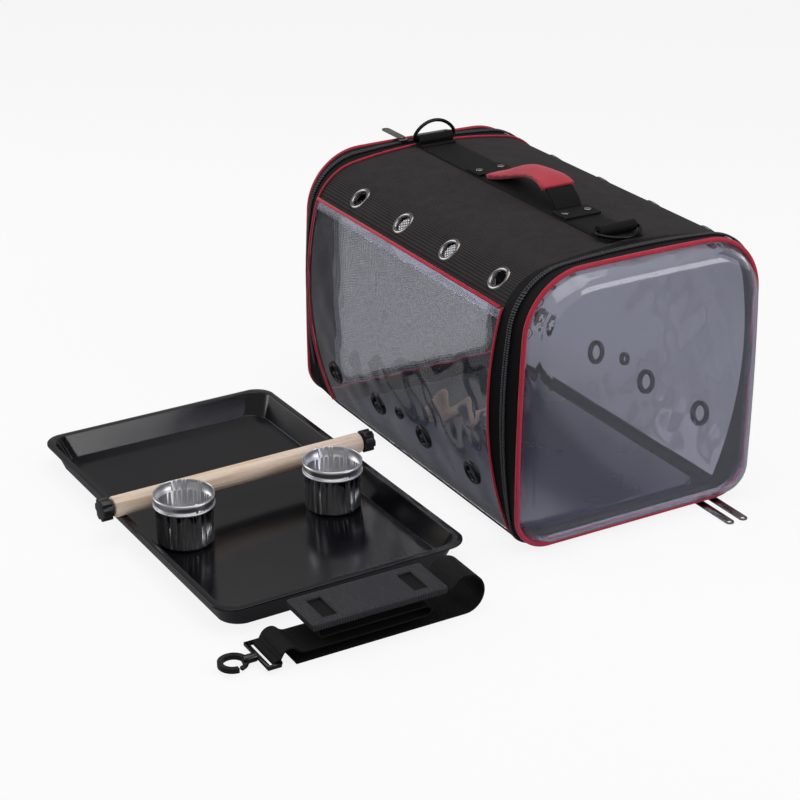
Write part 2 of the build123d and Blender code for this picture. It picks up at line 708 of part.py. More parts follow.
with BuildPart() as perch_dowel:
    with BuildSketch(perch_plane(perch_length / 2)):
        Circle(perch_radius)
    extrude(amount=-perch_length)
    chamfer(perch_dowel.edges().filter_by(GeomType.CIRCLE), perch_end_chamfer)
    for along in (-perch_length / 2, perch_length / 2):
        with BuildSketch(perch_plane(along)):
            Circle(stud_radius + running_gap)
        extrude(amount=-stud_depth - clearance, mode=Mode.SUBTRACT)
keep("perch_dowel", perch_dowel.part)

for along, letter in ((-perch_length / 2, "a"), (perch_length / 2, "b")):
    outer_face = perch_plane(along)
    with BuildPart() as perch_stud:
        with BuildSketch(outer_face.offset(-stud_depth)):
            Circle(stud_radius)
        extrude(amount=stud_depth + stud_gap + knob_thickness * 0.7)
    keep(f"perch_stud_{letter}", perch_stud.part)
    with BuildPart() as perch_knob:
        with BuildSketch(outer_face.offset(stud_gap)):
            Circle(knob_radius)
            with PolarLocations(knob_radius + knob_notch_radius * 0.45, knob_lobes):
                Circle(knob_notch_radius, mode=Mode.SUBTRACT)
        extrude(amount=knob_thickness)
        with BuildSketch(outer_face.offset(stud_gap)):
            Circle(stud_radius + press_gap)
        extrude(amount=knob_thickness * 0.7 + press_gap, mode=Mode.SUBTRACT)
    keep(f"perch_knob_{letter}", perch_knob.part)

# ---------------------------------------------------------------- shoulder strap
layer = [clearance + webbing_thickness / 2 + webbing_layer_pitch * index for index in range(4)]
fold = webbing_layer_pitch / 2
far_y = -213.0              # where the outer layer turns up into the open loop at the strap's far end
near_y = -346.0             # where the inner layers fold at the near end
inner_far_y = -250.0
eye_y = -386.0              # the hook's bar, in the sewn loop at the strap's near end
loop_top = layer[0] + 2 * webbing_front_loop_radius
eye_bore = hook_wire_radius + running_gap
hump_radius = 8.0           # the webbing's small standing loop beside the hook
hump_climb, hump_fall = 60.0, 50.0
slope_y = pad_centre_y + pad_length / 2 + 1  # beyond the pad, the top layer rises to the open loop
slope_angle = 2 * degrees(atan2(loop_top - layer[3], far_y - slope_y))
slope_radius = (far_y - slope_y) / (2 * sin(radians(slope_angle)))

with BuildPart() as strap_webbing:
    with BuildSketch(Plane.YZ.offset(webbing_x - webbing_width / 2)):
        with BuildLine():
            # from the hook, over the small standing loop and down to the second layer
            hook_turn = (eye_y, layer[0] + fold)
            riser = PolarLine(hook_turn, hump_radius, hump_climb)
            hump = JernArc(riser @ 1, riser % 1, hump_radius, -hump_climb - hump_fall)
            settle_radius = ((hump @ 1).Y - layer[1]) / (1 - cos(radians(hump_fall)))
            settle = JernArc(hump @ 1, hump % 1, settle_radius, hump_fall)
            Line(settle @ 1, (inner_far_y, layer[1]))
            ThreePointArc((inner_far_y, layer[1]), (inner_far_y + fold, layer[1] + fold), (inner_far_y, layer[2]))
            Line((inner_far_y, layer[2]), (near_y, layer[2]))
            ThreePointArc((near_y, layer[2]), (near_y - fold, layer[2] + fold), (near_y, layer[3]))
            Line((near_y, layer[3]), (slope_y, layer[3]))
            slope = JernArc((slope_y, layer[3]), (1, 0), slope_radius, slope_angle)
            JernArc(slope @ 1, slope % 1, slope_radius, -slope_angle)
            ThreePointArc((far_y, loop_top), (far_y + webbing_front_loop_radius, loop_top / 2 + layer[0] / 2),
                          (far_y, layer[0]))
            Line((far_y, layer[0]), (near_y - 24, layer[0]))
        trace(line_width=webbing_thickness)
        with Locations(hook_turn):
            Circle(eye_bore + webbing_thickness)
            Circle(eye_bore, mode=Mode.SUBTRACT)
    extrude(amount=webbing_width)
keep("strap_webbing", strap_webbing.part)

pad_base = layer[3] + webbing_thickness / 2 + clearance
with BuildPart() as shoulder_pad:
    with BuildSketch(Plane.XY.offset(pad_base)):
        with Locations((webbing_x, pad_centre_y)):
            RectangleRounded(pad_width, pad_length, 3)
            with GridLocations(0, 2 * pad_window_offset, 1, 2):
                Rectangle(pad_window_width, pad_window_length, mode=Mode.SUBTRACT)
    extrude(amount=pad_thickness)
keep("shoulder_pad", shoulder_pad.part)

# the snap hook: a frame whose bar lies in the sewn loop, the swivelling hook on its post, and the gate
eye_height = layer[0] + fold
frame_wire = hook_wire_radius * sqrt(2)
frame_front = eye_y - hook_eye_depth
eye_plane = Plane.XY.offset(eye_height - frame_wire / 2)
with BuildPart() as hook_eye:
    with BuildSketch(eye_plane):
        with Locations((webbing_x, (eye_y + frame_front) / 2)):
            Rectangle(webbing_width + 2 * frame_wire + 2 * clearance, hook_eye_depth + frame_wire)
            Rectangle(webbing_width + 2 * clearance, hook_eye_depth - frame_wire, mode=Mode.SUBTRACT)
    extrude(amount=frame_wire)
    with BuildSketch(Plane(origin=(webbing_x, frame_front, eye_height), z_dir=(0, -1, 0))):
        Circle(hook_post_radius)
    extrude(amount=hook_shank_length - hook_wire_radius)
keep("hook_eye", hook_eye.part)

shank_start = frame_front - frame_wire / 2 - clearance
ring_middle = (webbing_x, shank_start - hook_shank_length - hook_ring_radius)
ring_outer = hook_ring_radius + hook_wire_radius
ring_inner = hook_ring_radius - hook_wire_radius
gate_start, gate_sweep = 10.0, 45.0
gate_gap = 11.0             # degrees left open at each end, so that the gate's tip swings in past the ring's
with BuildPart() as hook_body:
    with BuildSketch(Plane(origin=(webbing_x, shank_start, eye_height), z_dir=(0, -1, 0))):
        Circle(hook_post_radius + running_gap + hook_wire_radius)
    extrude(amount=hook_shank_length + hook_wire_radius)
    with BuildSketch(Plane(origin=(webbing_x, shank_start, eye_height), z_dir=(0, -1, 0))):
        Circle(hook_post_radius + running_gap)
    extrude(amount=hook_shank_length, mode=Mode.SUBTRACT)
    with BuildSketch(Plane.XY.offset(eye_height - hook_wire_radius)):
        with Locations(ring_middle):
            Circle(ring_outer)
            Circle(ring_inner, mode=Mode.SUBTRACT)
        with BuildLine():
            CenterArc(ring_middle, 2 * ring_outer, gate_start - gate_gap, gate_sweep + 2 * gate_gap)
            Line(CenterArc(ring_middle, 2 * ring_outer, gate_start - gate_gap, 0.01) @ 0, ring_middle)
            Line(ring_middle, CenterArc(ring_middle, 2 * ring_outer, gate_start + gate_sweep + gate_gap, 0.01) @ 0)
        make_face(mode=Mode.SUBTRACT)
    extrude(amount=2 * hook_wire_radius)
keep("hook_body", hook_body.part)
with BuildPart() as hook_gate:
    with BuildSketch(Plane.XY.offset(eye_height - hook_wire_radius * 0.7)):
        with BuildLine():
            CenterArc(ring_middle, ring_outer - clearance, gate_start, gate_sweep)
            CenterArc(ring_middle, ring_inner + clearance, gate_start, gate_sweep)
            for angle in (gate_start, gate_start + gate_sweep):
                spoke = (cos(radians(angle)), sin(radians(angle)))
                Line((ring_middle[0] + (ring_inner + clearance) * spoke[0],
                      ring_middle[1] + (ring_inner + clearance) * spoke[1]),
                     (ring_middle[0] + (ring_outer - clearance) * spoke[0],
                      ring_middle[1] + (ring_outer - clearance) * spoke[1]))
        make_face()
    extrude(amount=hook_wire_radius * 1.4)
keep("hook_gate", hook_gate.part)

# ---------------------------------------------------------------- writing the parts
os.makedirs("parts", exist_ok=True)
for name, part in parts.items():
    export_step(part, f"parts/{name}.step")
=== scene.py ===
import json
from bisect import bisect
from math import atan2, cos, pi, radians, sin, sqrt

import bpy
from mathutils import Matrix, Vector


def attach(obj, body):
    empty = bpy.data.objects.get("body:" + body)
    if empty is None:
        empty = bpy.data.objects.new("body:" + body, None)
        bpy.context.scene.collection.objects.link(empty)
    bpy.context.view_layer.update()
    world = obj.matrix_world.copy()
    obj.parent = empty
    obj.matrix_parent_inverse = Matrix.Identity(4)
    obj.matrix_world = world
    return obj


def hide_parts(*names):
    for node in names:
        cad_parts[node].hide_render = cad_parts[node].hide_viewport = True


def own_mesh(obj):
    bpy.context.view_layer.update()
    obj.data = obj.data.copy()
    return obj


bl_info = {
    "name": "Bird Travel Carrier",
    "version": (1, 0, 0),
    "blender": (4, 5, 0),
    "location": "View3D > Sidebar > Bird Carrier",
    "description": "Dresses a soft bird carrier with its tray, perch, cups and shoulder strap",
    "category": "Object",
}

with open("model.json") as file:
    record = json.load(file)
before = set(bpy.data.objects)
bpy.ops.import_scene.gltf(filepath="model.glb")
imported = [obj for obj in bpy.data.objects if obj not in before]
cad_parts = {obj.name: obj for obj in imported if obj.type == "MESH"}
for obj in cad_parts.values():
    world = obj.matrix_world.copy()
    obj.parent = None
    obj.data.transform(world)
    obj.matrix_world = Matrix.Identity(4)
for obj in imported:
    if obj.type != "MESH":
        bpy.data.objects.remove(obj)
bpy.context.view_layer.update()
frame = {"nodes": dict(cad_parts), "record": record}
SLOTS = {part["node"]: part["material_slot"] for part in frame["record"]["subparts"]}
BODIES = {node: body for body, nodes in frame["record"]["behaviour"]["bodies"].items() for node in nodes}
MM = 0.001


# ------------------------------------------------------------------ what can be set
def linear(hex_colour):
    """An sRGB hex colour as linear red, green, blue and alpha."""
    parts = [int(hex_colour[i:i + 2], 16) / 255 for i in (1, 3, 5)]
    return tuple(p / 12.92 if p <= 0.04045 else ((p + 0.055) / 1.055) ** 2.4 for p in parts) + (1.0,)


def length(name, description, default):
    """A length in metres that can be set in the sidebar."""
    return bpy.props.FloatProperty(name=name, description=description, default=default, min=0.0,
                                   unit="LENGTH", precision=5)


def colour(name, description, hex_colour):
    """A colour that can be set in the sidebar."""
    return bpy.props.FloatVectorProperty(name=name, description=description, subtype="COLOR",
                                         default=linear(hex_colour)[:3], min=0.0, max=1.0)


class CarrierSizes(bpy.types.PropertyGroup):
    """Sizes of the modelled pieces, in metres"""
    roof_cloth: length("Roof cloth", "Thickness of the roof cloth", 0.003)
    window_sheet: length("Window sheet", "Thickness of the soft side windows", 0.0009)
    window_wave: length("Window waves", "How far the soft side windows bow in and out", 0.002)
    hem: length("Window hem", "Thickness of the folded strip along the top of each side window", 0.0008)
    skin_cell: length("Skin cell", "Size of the quads in the roof and side windows", 0.003)
    grommet_hole: length("Grommet hole", "Radius of the holes that the grommets are clamped in", 0.0086)
    eyelet_hole: length("Eyelet hole", "Radius of the holes for the perch eyelets", 0.0044)
    arch_rise: length("Handle rise", "Height of the handle arch over the roof strap", 0.0235)
    arch_width: length("Handle webbing", "Width of the handle webbing", 0.028)
    arch_webbing: length("Handle webbing thickness", "Thickness of the handle webbing", 0.002)
    grip_width: length("Grip width", "Width of the red grip at its widest", 0.034)
    grip_wall: length("Grip thickness", "Thickness of the red grip over the webbing", 0.0052)
    ring_wire: length("Twisted ring", "Radius of the twisted ring on each cup", 0.001)
    pad_mesh: length("Pad mesh", "Thickness of the mesh in the pad windows", 0.0006)


class CarrierColours(bpy.types.PropertyGroup):
    """Colours of the carrier's materials"""
    roof_gap: colour("Roof, gaps", "The dark between the roof threads", "#070606")
    roof_thread: colour("Roof, threads", "The roof canvas threads", "#4A4546")
    band_gap: colour("Bands, gaps", "The dark between the zip band threads", "#040405")
    band_thread: colour("Bands, threads", "The zip band threads", "#141417")
    board_dark: colour("Board, dark", "The floor board where it is darkest", "#0F1526")
    board_light: colour("Board, light", "The floor board where it is palest", "#18213A")
    piping_gap: colour("Piping, gaps", "The piping between its threads", "#97142A")
    piping_thread: colour("Piping, threads", "The piping threads", "#E0405A")
    webbing_gap: colour("Webbing, gaps", "The dark between the webbing threads", "#030304")
    webbing_thread: colour("Webbing, threads", "The webbing threads", "#121215")
    grip_gap: colour("Grip, gaps", "The grip cloth between its threads", "#A01C30")
    grip_thread: colour("Grip, threads", "The grip cloth threads", "#E24A5C")
    tray_dark: colour("Tray, dark", "The tray where it is darkest", "#08080C")
    tray_light: colour("Tray, light", "The tray where it is palest", "#131319")
    knob_dark: colour("Knobs, dark", "The knobs where they are darkest", "#08080A")
    knob_light: colour("Knobs, light", "The knobs where they are palest", "#141417")
    hook_dark: colour("Hook, dark", "The hook where it is darkest", "#060607")
    hook_light: colour("Hook, light", "The hook where it is palest", "#101013")
    window_tint: colour("Windows", "Tint of the soft side windows", "#F4F4F8")
    cover_tint: colour("Front cover", "Tint of the moulded front cover", "#F1F2FF")
    nickel: colour("Nickel", "Nickel plate of the grommets, rivets, sliders and pulls", "#8E8D8A")
    dark_nickel: colour("Dark nickel", "Black nickel plate of the side grommets", "#3A3A3D")
    ring_black: colour("D-rings", "Black plate of the D-rings", "#2A2A2C")
    steel: colour("Cups", "Stainless steel of the cups", "#CFCFD2")
    zinc: colour("Studs", "Zinc plate of the perch studs", "#9A9A9C")
    pad_groove: colour("Pad, grooves", "The shoulder pad between its ribs", "#0C0C10")
    pad_rib: colour("Pad, ribs", "The shoulder pad ribs", "#2C2C34")
    zip_gap: colour("Zips, gaps", "The dark between zip teeth", "#050506")
    zip_tooth: colour("Zips, teeth", "The zip teeth", "#4C4C54")
    mesh_dark: colour("Mesh, dark", "The window mesh threads in shade", "#6E6E74")
    mesh_light: colour("Mesh, light", "The window mesh threads where they catch light", "#E8E8EC")
    beech_dark: colour("Perch, dark", "The beech growth lines", "#E6C6AA")
    beech_light: colour("Perch, light", "The beech between its growth lines", "#FCEBD9")


def sizes():
    return bpy.context.scene.carrier_sizes


def tone(name):
    """One of the carrier's colours, with alpha."""
    return tuple(getattr(bpy.context.scene.carrier_colours, name)) + (1.0,)


# ------------------------------------------------------------------ helpers
def add_node(tree, kind, settings=None, **inputs):
    """Adds one shader node. Inputs are plain values, or the sockets that feed them."""
    made = tree.nodes.new(kind)
    for name, value in (settings or {}).items():
        setattr(made, name, value)
    for name, value in inputs.items():
        socket = made.inputs[int(name[1:])] if name[0] == "_" else made.inputs[name.replace("_", " ")]
        if isinstance(value, bpy.types.NodeSocket):
            tree.links.new(value, socket)
        else:
            socket.default_value = value
    return made


def start_material(name):
    """An empty node material and its Object coordinates."""
    material = bpy.data.materials.new(name)
    material.use_nodes = True
    tree = material.node_tree
    tree.nodes.clear()
    coords = add_node(tree, "ShaderNodeTexCoord").outputs["Object"]
    return material, tree, coords


def end_material(material, tree, shader):
    add_node(tree, "ShaderNodeOutputMaterial", Surface=shader)
    return material


def mix_colours(tree, share, low, high):
    mixed = add_node(tree, "ShaderNodeMix", {"data_type": "RGBA"}, _0=share, _6=low, _7=high)
    return mixed.outputs[2]


def add_bump(tree, height, depth_mm, strength=1.0):
    bump = add_node(tree, "ShaderNodeBump", Strength=strength, Distance=depth_mm * MM, Height=height)
    return bump.outputs[0]


def bands(tree, coords, direction, spacing_mm, distortion=0.0):
    """A wave of bands, one each spacing_mm."""
    wave = add_node(tree, "ShaderNodeTexWave", {"wave_type": "BANDS", "bands_direction": direction},
                    Vector=coords, Scale=pi / 10 / (spacing_mm * MM), Distortion=distortion)
    return wave.outputs["Fac"]


def noise(tree, coords, size_mm, detail=3.0, stretch=(1, 1, 1)):
    """Soft noise whose lumps are about size_mm across."""
    placed = add_node(tree, "ShaderNodeMapping", Vector=coords, Scale=stretch).outputs[0]
    made = add_node(tree, "ShaderNodeTexNoise", Vector=placed, Scale=1 / (size_mm * MM), Detail=detail)
    return made.outputs["Fac"]


def maths(tree, operation, first, second=0.0, clamp=False):
    settings = {"operation": operation, "use_clamp": clamp}
    return add_node(tree, "ShaderNodeMath", settings, _0=first, _1=second).outputs[0]


def add_shares(tree, first, first_share, second, second_share):
    """Two patterns added in the given shares, kept between 0 and 1."""
    first_part = maths(tree, "MULTIPLY", first, first_share)
    second_part = maths(tree, "MULTIPLY", second, second_share)
    return maths(tree, "ADD", first_part, second_part, True)


def remap(tree, value, low, high, to_low=0.0, to_high=1.0):
    made = add_node(tree, "ShaderNodeMapRange", Value=value, From_Min=low, From_Max=high,
                    To_Min=to_low, To_Max=to_high)
    return made.outputs[0]


# ------------------------------------------------------------------ materials
def woven(name, dark, light, spacing_mm, depth_mm, roughness, sheen=0.0, axes=("X", "Y")):
    """Cloth: two crossing sets of threads, a little uneven in tone."""
    material, tree, coords = start_material(name)
    first = bands(tree, coords, axes[0], spacing_mm, 0.4)
    second = bands(tree, coords, axes[1], spacing_mm, 0.4)
    weave = maths(tree, "MULTIPLY", first, second)
    patches = noise(tree, coords, 14.0)
    share = add_shares(tree, weave, 0.75, patches, 0.25)
    colour = mix_colours(tree, share, dark, light)
    shader = add_node(tree, "ShaderNodeBsdfPrincipled", Base_Color=colour, Roughness=roughness,
                      Sheen_Weight=sheen, Specular_IOR_Level=0.2, Normal=add_bump(tree, weave, depth_mm))
    return end_material(material, tree, shader.outputs[0])


def clear_sheet(name, tint, roughness, wave_mm, wave_depth_mm, milk):
    """Clear plastic sheet: glassy, faintly tinted, with shallow waves. Its shadow stays light."""
    material, tree, coords = start_material(name)
    waves = noise(tree, coords, wave_mm, 1.0)
    glass = add_node(tree, "ShaderNodeBsdfPrincipled", Base_Color=tint, Roughness=roughness, IOR=1.49,
                     Transmission_Weight=1.0, Normal=add_bump(tree, waves, wave_depth_mm))
    veil = add_node(tree, "ShaderNodeBsdfDiffuse", Color=tint)
    body = add_node(tree, "ShaderNodeMixShader", _0=milk, _1=glass.outputs[0], _2=veil.outputs[0])
    light_path = add_node(tree, "ShaderNodeLightPath").outputs["Is Shadow Ray"]
    through = add_node(tree, "ShaderNodeBsdfTransparent", Color=tint)
    mixed = add_node(tree, "ShaderNodeMixShader", _0=light_path, _1=body.outputs[0], _2=through.outputs[0])
    return end_material(material, tree, mixed.outputs[0])


def plated(name, colour, roughness, grain=(1, 1, 1), grain_mm=3.0, depth_mm=0.02, spread=0.06):
    """Plated or bare metal with drawn or brushed grain."""
    material, tree, coords = start_material(name)
    lines = noise(tree, coords, grain_mm, 4.0, grain)
    rough = remap(tree, lines, 0.3, 0.7, roughness - spread, roughness + spread)
    shader = add_node(tree, "ShaderNodeBsdfPrincipled", Base_Color=colour, Metallic=1.0,
                      Roughness=rough, Normal=add_bump(tree, lines, depth_mm))
    return end_material(material, tree, shader.outputs[0])


def moulded(name, dark, light, roughness, grain_mm, depth_mm, coat=0.0, specular=0.5):
    """Moulded plastic with a fine spark grain, a little uneven in tone and in gloss."""
    material, tree, coords = start_material(name)
    grain = noise(tree, coords, grain_mm, 2.0)
    broad = noise(tree, coords, 60.0, 2.0)
    colour = mix_colours(tree, broad, dark, light)
    rough = remap(tree, broad, 0.3, 0.7, roughness * 0.85, roughness * 1.15)
    shader = add_node(tree, "ShaderNodeBsdfPrincipled", Base_Color=colour, Roughness=rough, IOR=1.5,
                      Coat_Weight=coat, Specular_IOR_Level=specular, Normal=add_bump(tree, grain, depth_mm))
    return end_material(material, tree, shader.outputs[0])


def ribbed_rubber(name):
    """Moulded rubber with fine ribs across the pad."""
    material, tree, coords = start_material(name)
    ribs = bands(tree, coords, "Y", 2.4, 0.3)
    grain = noise(tree, coords, 0.8)
    worn = noise(tree, coords, 22.0)
    height = maths(tree, "ADD", ribs, maths(tree, "MULTIPLY", grain, 0.3))
    share = add_shares(tree, ribs, 0.6, worn, 0.4)
    colour = mix_colours(tree, share, tone("pad_groove"), tone("pad_rib"))
    shader = add_node(tree, "ShaderNodeBsdfPrincipled", Base_Color=colour, Roughness=0.55,
                      Normal=add_bump(tree, height, 0.5))
    return end_material(material, tree, shader.outputs[0])


TOOTH_MM = 2.2              # coarser than real coil teeth, so that they show


def zip_teeth(name):
    """Nylon coil teeth: ridges across the zip, along the sides and along the top."""
    material, tree, coords = start_material(name)
    normal = add_node(tree, "ShaderNodeNewGeometry").outputs["Normal"]
    parts = add_node(tree, "ShaderNodeSeparateXYZ", Vector=normal)
    sideways = maths(tree, "ABSOLUTE", parts.outputs[1])
    upwards = maths(tree, "ABSOLUTE", parts.outputs[2])
    on_side = maths(tree, "GREATER_THAN", sideways, upwards)
    along_z = bands(tree, coords, "Z", TOOTH_MM)
    along_y = bands(tree, coords, "Y", TOOTH_MM)
    ridges = add_node(tree, "ShaderNodeMix", _0=on_side, _2=along_y, _3=along_z).outputs[0]
    colour = mix_colours(tree, ridges, tone("zip_gap"), tone("zip_tooth"))
    shader = add_node(tree, "ShaderNodeBsdfPrincipled", Base_Color=colour, Roughness=0.42,
                      Normal=add_bump(tree, ridges, 0.8))
    return end_material(material, tree, shader.outputs[0])


MESH_THREAD_MM = 2.6        # coarser than real mesh, so that the threads show
MESH_OPENNESS = 0.78        # the pattern is a hole below this


def window_mesh(name):
    """Grey mesh cloth: two crossing sets of fluffy threads, open between them."""
    material, tree, coords = start_material(name)
    across = bands(tree, coords, "Y", MESH_THREAD_MM, 0.7)
    upright = bands(tree, coords, "Z", MESH_THREAD_MM, 0.7)
    thread = maths(tree, "MAXIMUM", across, upright)
    fluff = noise(tree, coords, 1.6, 2.0)
    fluffy = maths(tree, "ADD", thread, maths(tree, "MULTIPLY", fluff, 0.35))
    solid = maths(tree, "GREATER_THAN", fluffy, MESH_OPENNESS)
    colour = mix_colours(tree, fluff, tone("mesh_dark"), tone("mesh_light"))
    cloth = add_node(tree, "ShaderNodeBsdfPrincipled", Base_Color=colour, Roughness=0.8,
                     Normal=add_bump(tree, thread, 0.3))
    lit = add_node(tree, "ShaderNodeBsdfTranslucent", Color=colour)
    fabric = add_node(tree, "ShaderNodeMixShader", _0=0.5, _1=cloth.outputs[0], _2=lit.outputs[0])
    hole = add_node(tree, "ShaderNodeBsdfTransparent")
    mixed = add_node(tree, "ShaderNodeMixShader", _0=solid, _1=hole.outputs[0], _2=fabric.outputs[0])
    return end_material(material, tree, mixed.outputs[0])


def beech(name):
    """Sanded, unfinished beech: pale, with fine rays and darker growth lines along the dowel."""
    material, tree, coords = start_material(name)
    rings = noise(tree, coords, 5.0, 3.0, (1, 0.05, 1))
    flecks = noise(tree, coords, 0.9, 2.0, (1, 0.12, 1))
    share = add_shares(tree, rings, 0.75, flecks, 0.25)
    colour = mix_colours(tree, remap(tree, share, 0.35, 0.65), tone("beech_dark"), tone("beech_light"))
    shader = add_node(tree, "ShaderNodeBsdfPrincipled", Base_Color=colour, Roughness=0.6,
                      Normal=add_bump(tree, share, 0.12))
    return end_material(material, tree, shader.outputs[0])


# Each of the record's material slots: how it is made, its name, its colours and its settings.
FINISHES = {
    # coarse plain-woven polyester canvas, charcoal with a paler thread
    "roof_fabric": (woven, "charcoal_polyester_canvas", ("roof_gap", "roof_thread"), (1.9, 0.35, 0.85, 0.04)),
    # tight plain-woven polyester of the zip bands and door borders
    "black_fabric": (woven, "black_polyester", ("band_gap", "band_thread"),
                     (1.1, 0.12, 0.75, 0.02, ("X", "Z"))),
    # extruded polyethylene board that stiffens the roof and the floor
    "stiffener_board": (moulded, "polyethylene_board", ("board_dark", "board_light"), (0.3, 1.0, 0.03)),
    # calendered soft sheet of the side windows
    "clear_pvc": (clear_sheet, "soft_clear_pvc", ("window_tint",), (0.0, 45.0, 0.6, 0.01)),
    # stiffer sheet of the front cover, drawn over a mould
    "clear_shell": (clear_sheet, "thermoformed_clear_sheet", ("cover_tint",), (0.01, 160.0, 1.2, 0.03)),
    # nickel-plated brass or steel, stamped
    "bright_nickel": (plated, "nickel_plate", ("nickel",), (0.22,)),
    # black nickel plate of the side grommets, stamped
    "dark_nickel": (plated, "black_nickel_plate", ("dark_nickel",), (0.22,)),
    # cloth folded over a cord and sewn into the seams
    "red_piping": (woven, "red_piping_cloth", ("piping_gap", "piping_thread"),
                   (1.0, 0.12, 0.7, 0.2, ("Y", "Z"))),
    # a nylon filament coiled into teeth
    "zip_nylon": (zip_teeth, "nylon_coil", (), ()),
    # knitted mesh of the rear door
    "grey_mesh": (window_mesh, "grey_window_mesh", (), ()),
    # narrow polyester webbing, loom woven
    "black_webbing": (woven, "black_polyester_webbing", ("webbing_gap", "webbing_thread"),
                      (1.8, 0.35, 0.7, 0.02)),
    # bent wire, plated black
    "black_metal": (plated, "black_plated_wire", ("ring_black",), (0.3,)),
    # the grip's plain-woven polyester
    "red_fabric": (woven, "red_polyester_canvas", ("grip_gap", "grip_thread"), (1.2, 0.25, 0.8, 0.3)),
    # vacuum-formed sheet of the tray
    "tray_plastic": (moulded, "black_polystyrene", ("tray_dark", "tray_light"), (0.16, 1.6, 0.02)),
    # deep-drawn sheet of the cups, with upright draw lines
    "stainless": (plated, "drawn_stainless", ("steel",), (0.34, (0.02, 0.02, 1), 0.8, 0.0006)),
    # turned, sanded and left bare
    "beech": (beech, "sanded_beech", (), ()),
    # zinc-plated studs in the ends of the perch
    "zinc_steel": (plated, "zinc_plated_steel", ("zinc",), (0.35,)),
    # injection-moulded knobs
    "knob_plastic": (moulded, "black_nylon_moulding", ("knob_dark", "knob_light"), (0.3, 0.8, 0.05)),
    # moulded pad with fine ribs
    "pad_rubber": (ribbed_rubber, "dark_grey_rubber", (), ()),
    # injection-moulded snap hook
    "hook_plastic": (moulded, "black_acetal", ("hook_dark", "hook_light"), (0.22, 0.8, 0.03)),
}
made_materials = {}


def finish_of(slot_name):
    """The finish of one of the record's material slots, made once."""
    if slot_name not in made_materials:
        maker, name, tones, settings = FINISHES[slot_name]
        made_materials[slot_name] = maker(name, *map(tone, tones), *settings)
    return made_materials[slot_name]


def dress(piece, slot_name):
    piece.data.materials.clear()
    piece.data.materials.append(finish_of(slot_name))


def select_only(piece):
    if bpy.context.mode != "OBJECT":
        bpy.ops.object.mode_set(mode="OBJECT")
    bpy.ops.object.select_all(action="DESELECT")
    piece.select_set(True)
    bpy.context.view_layer.objects.active = piece


def put_place_in_mesh(piece):
    select_only(piece)
    bpy.ops.object.transform_apply(location=True, rotation=True, scale=True)


def thicken(piece, wall, offset=-1):
    """Gives a sheet its wall, inwards unless the offset says otherwise."""
    solid = piece.modifiers.new("wall", "SOLIDIFY")
    solid.thickness = wall
    solid.offset = offset
    bpy.ops.object.modifier_apply(modifier=solid.name)


def seat(piece, slot_name, body, *nodes):
    """Gives a finished piece its finish and its body, and hides the nodes that it stands for."""
    put_place_in_mesh(piece)
    dress(piece, slot_name)
    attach(piece, body)
    if nodes:
        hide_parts(*nodes)


WELD = 0.00002              # points of a CAD node closer than this are one
FLAT_ANGLE = radians(4.0)   # facets that turn less than this are one face before a bevel
SHARP_ANGLE = radians(40.0)


def smooth_copy(node, angle=32.0, bevel_mm=0.0):
    """A welded, smooth-shaded copy of a CAD node, with its sharp edges eased."""
    piece = frame["nodes"][node].copy()
    piece.data = frame["nodes"][node].data.copy()
    piece.name = f"{node}_finished"
    bpy.context.collection.objects.link(piece)
    piece.parent = None
    select_only(piece)
    bpy.ops.object.mode_set(mode="EDIT")
    bpy.ops.mesh.select_all(action="SELECT")
    bpy.ops.mesh.remove_doubles(threshold=WELD)
    if bevel_mm:
        bpy.ops.mesh.dissolve_limited(angle_limit=FLAT_ANGLE)
    bpy.ops.object.mode_set(mode="OBJECT")
    if bevel_mm:
        bevel = piece.modifiers.new("eased_edges", "BEVEL")
        bevel.width = bevel_mm * MM
        bevel.segments = 3
        bevel.limit_method = "ANGLE"
        bevel.angle_limit = SHARP_ANGLE
        bpy.ops.object.modifier_apply(modifier=bevel.name)
    bpy.ops.object.shade_smooth_by_angle(angle=radians(angle))
    seat(piece, SLOTS[node], BODIES[node], node)
    return piece


# ------------------------------------------------------------------ the barrel's skin
BELLY = ((0.108, 0.0), (0.138, 0.125), (0.119, 0.247))      # half the side's curve: floor, middle, eave
CROWN = ((0.119, 0.247), (0.0, 0.261), (-0.119, 0.247))     # the roof's curve
EAVE_CORNER = 0.052
HALF_LENGTH = 0.16495
SIDE_FOOT, SIDE_TOP = 0.00905, 0.225
SEAM_GAP = 0.00005          # roof and side window each stop this far from the seam between them
HEM_FOOT = 0.2155
HEM_STAND_OFF = 1.4         # how far the hem lies out, as a share of its thickness
SIDE_STEPS, CORNER_STEPS, ROOF_STEPS = 900, 300, 400    # points along each arc of the cross-section
ROOF_GROMMETS = (-0.1055, -0.0245, 0.0565, 0.1375)
SIDE_GROMMETS = (-0.133, -0.048, 0.037, 0.122)
EYELET_X = -0.003
GROMMET_HEIGHT, EYELET_HEIGHT = 0.053, 0.062
GROMMET_ALONG, EYELET_ALONG = 0.0535, 0.0625            # the same places, measured along the curve
SEAM_FADE = 0.03            # the window's waves start this far from its seams
STILL_RADIUS = 0.018        # and about this far from a grommet
FALL_BASE = 2.718
RIPPLES = (                 # turns per metre along X and up the window, phase, and share of the wave
    (61, 34, 0.0, 0.45),
    (39, -63, 1.3, 0.5),
    (137, 98, 0.6, 0.22),
    (171, -120, 2.1, 0.12),
)
RIPPLE_LEVEL = 0.5
CUTTER_DEPTH = 0.024
SKIN_ANGLE = radians(35)


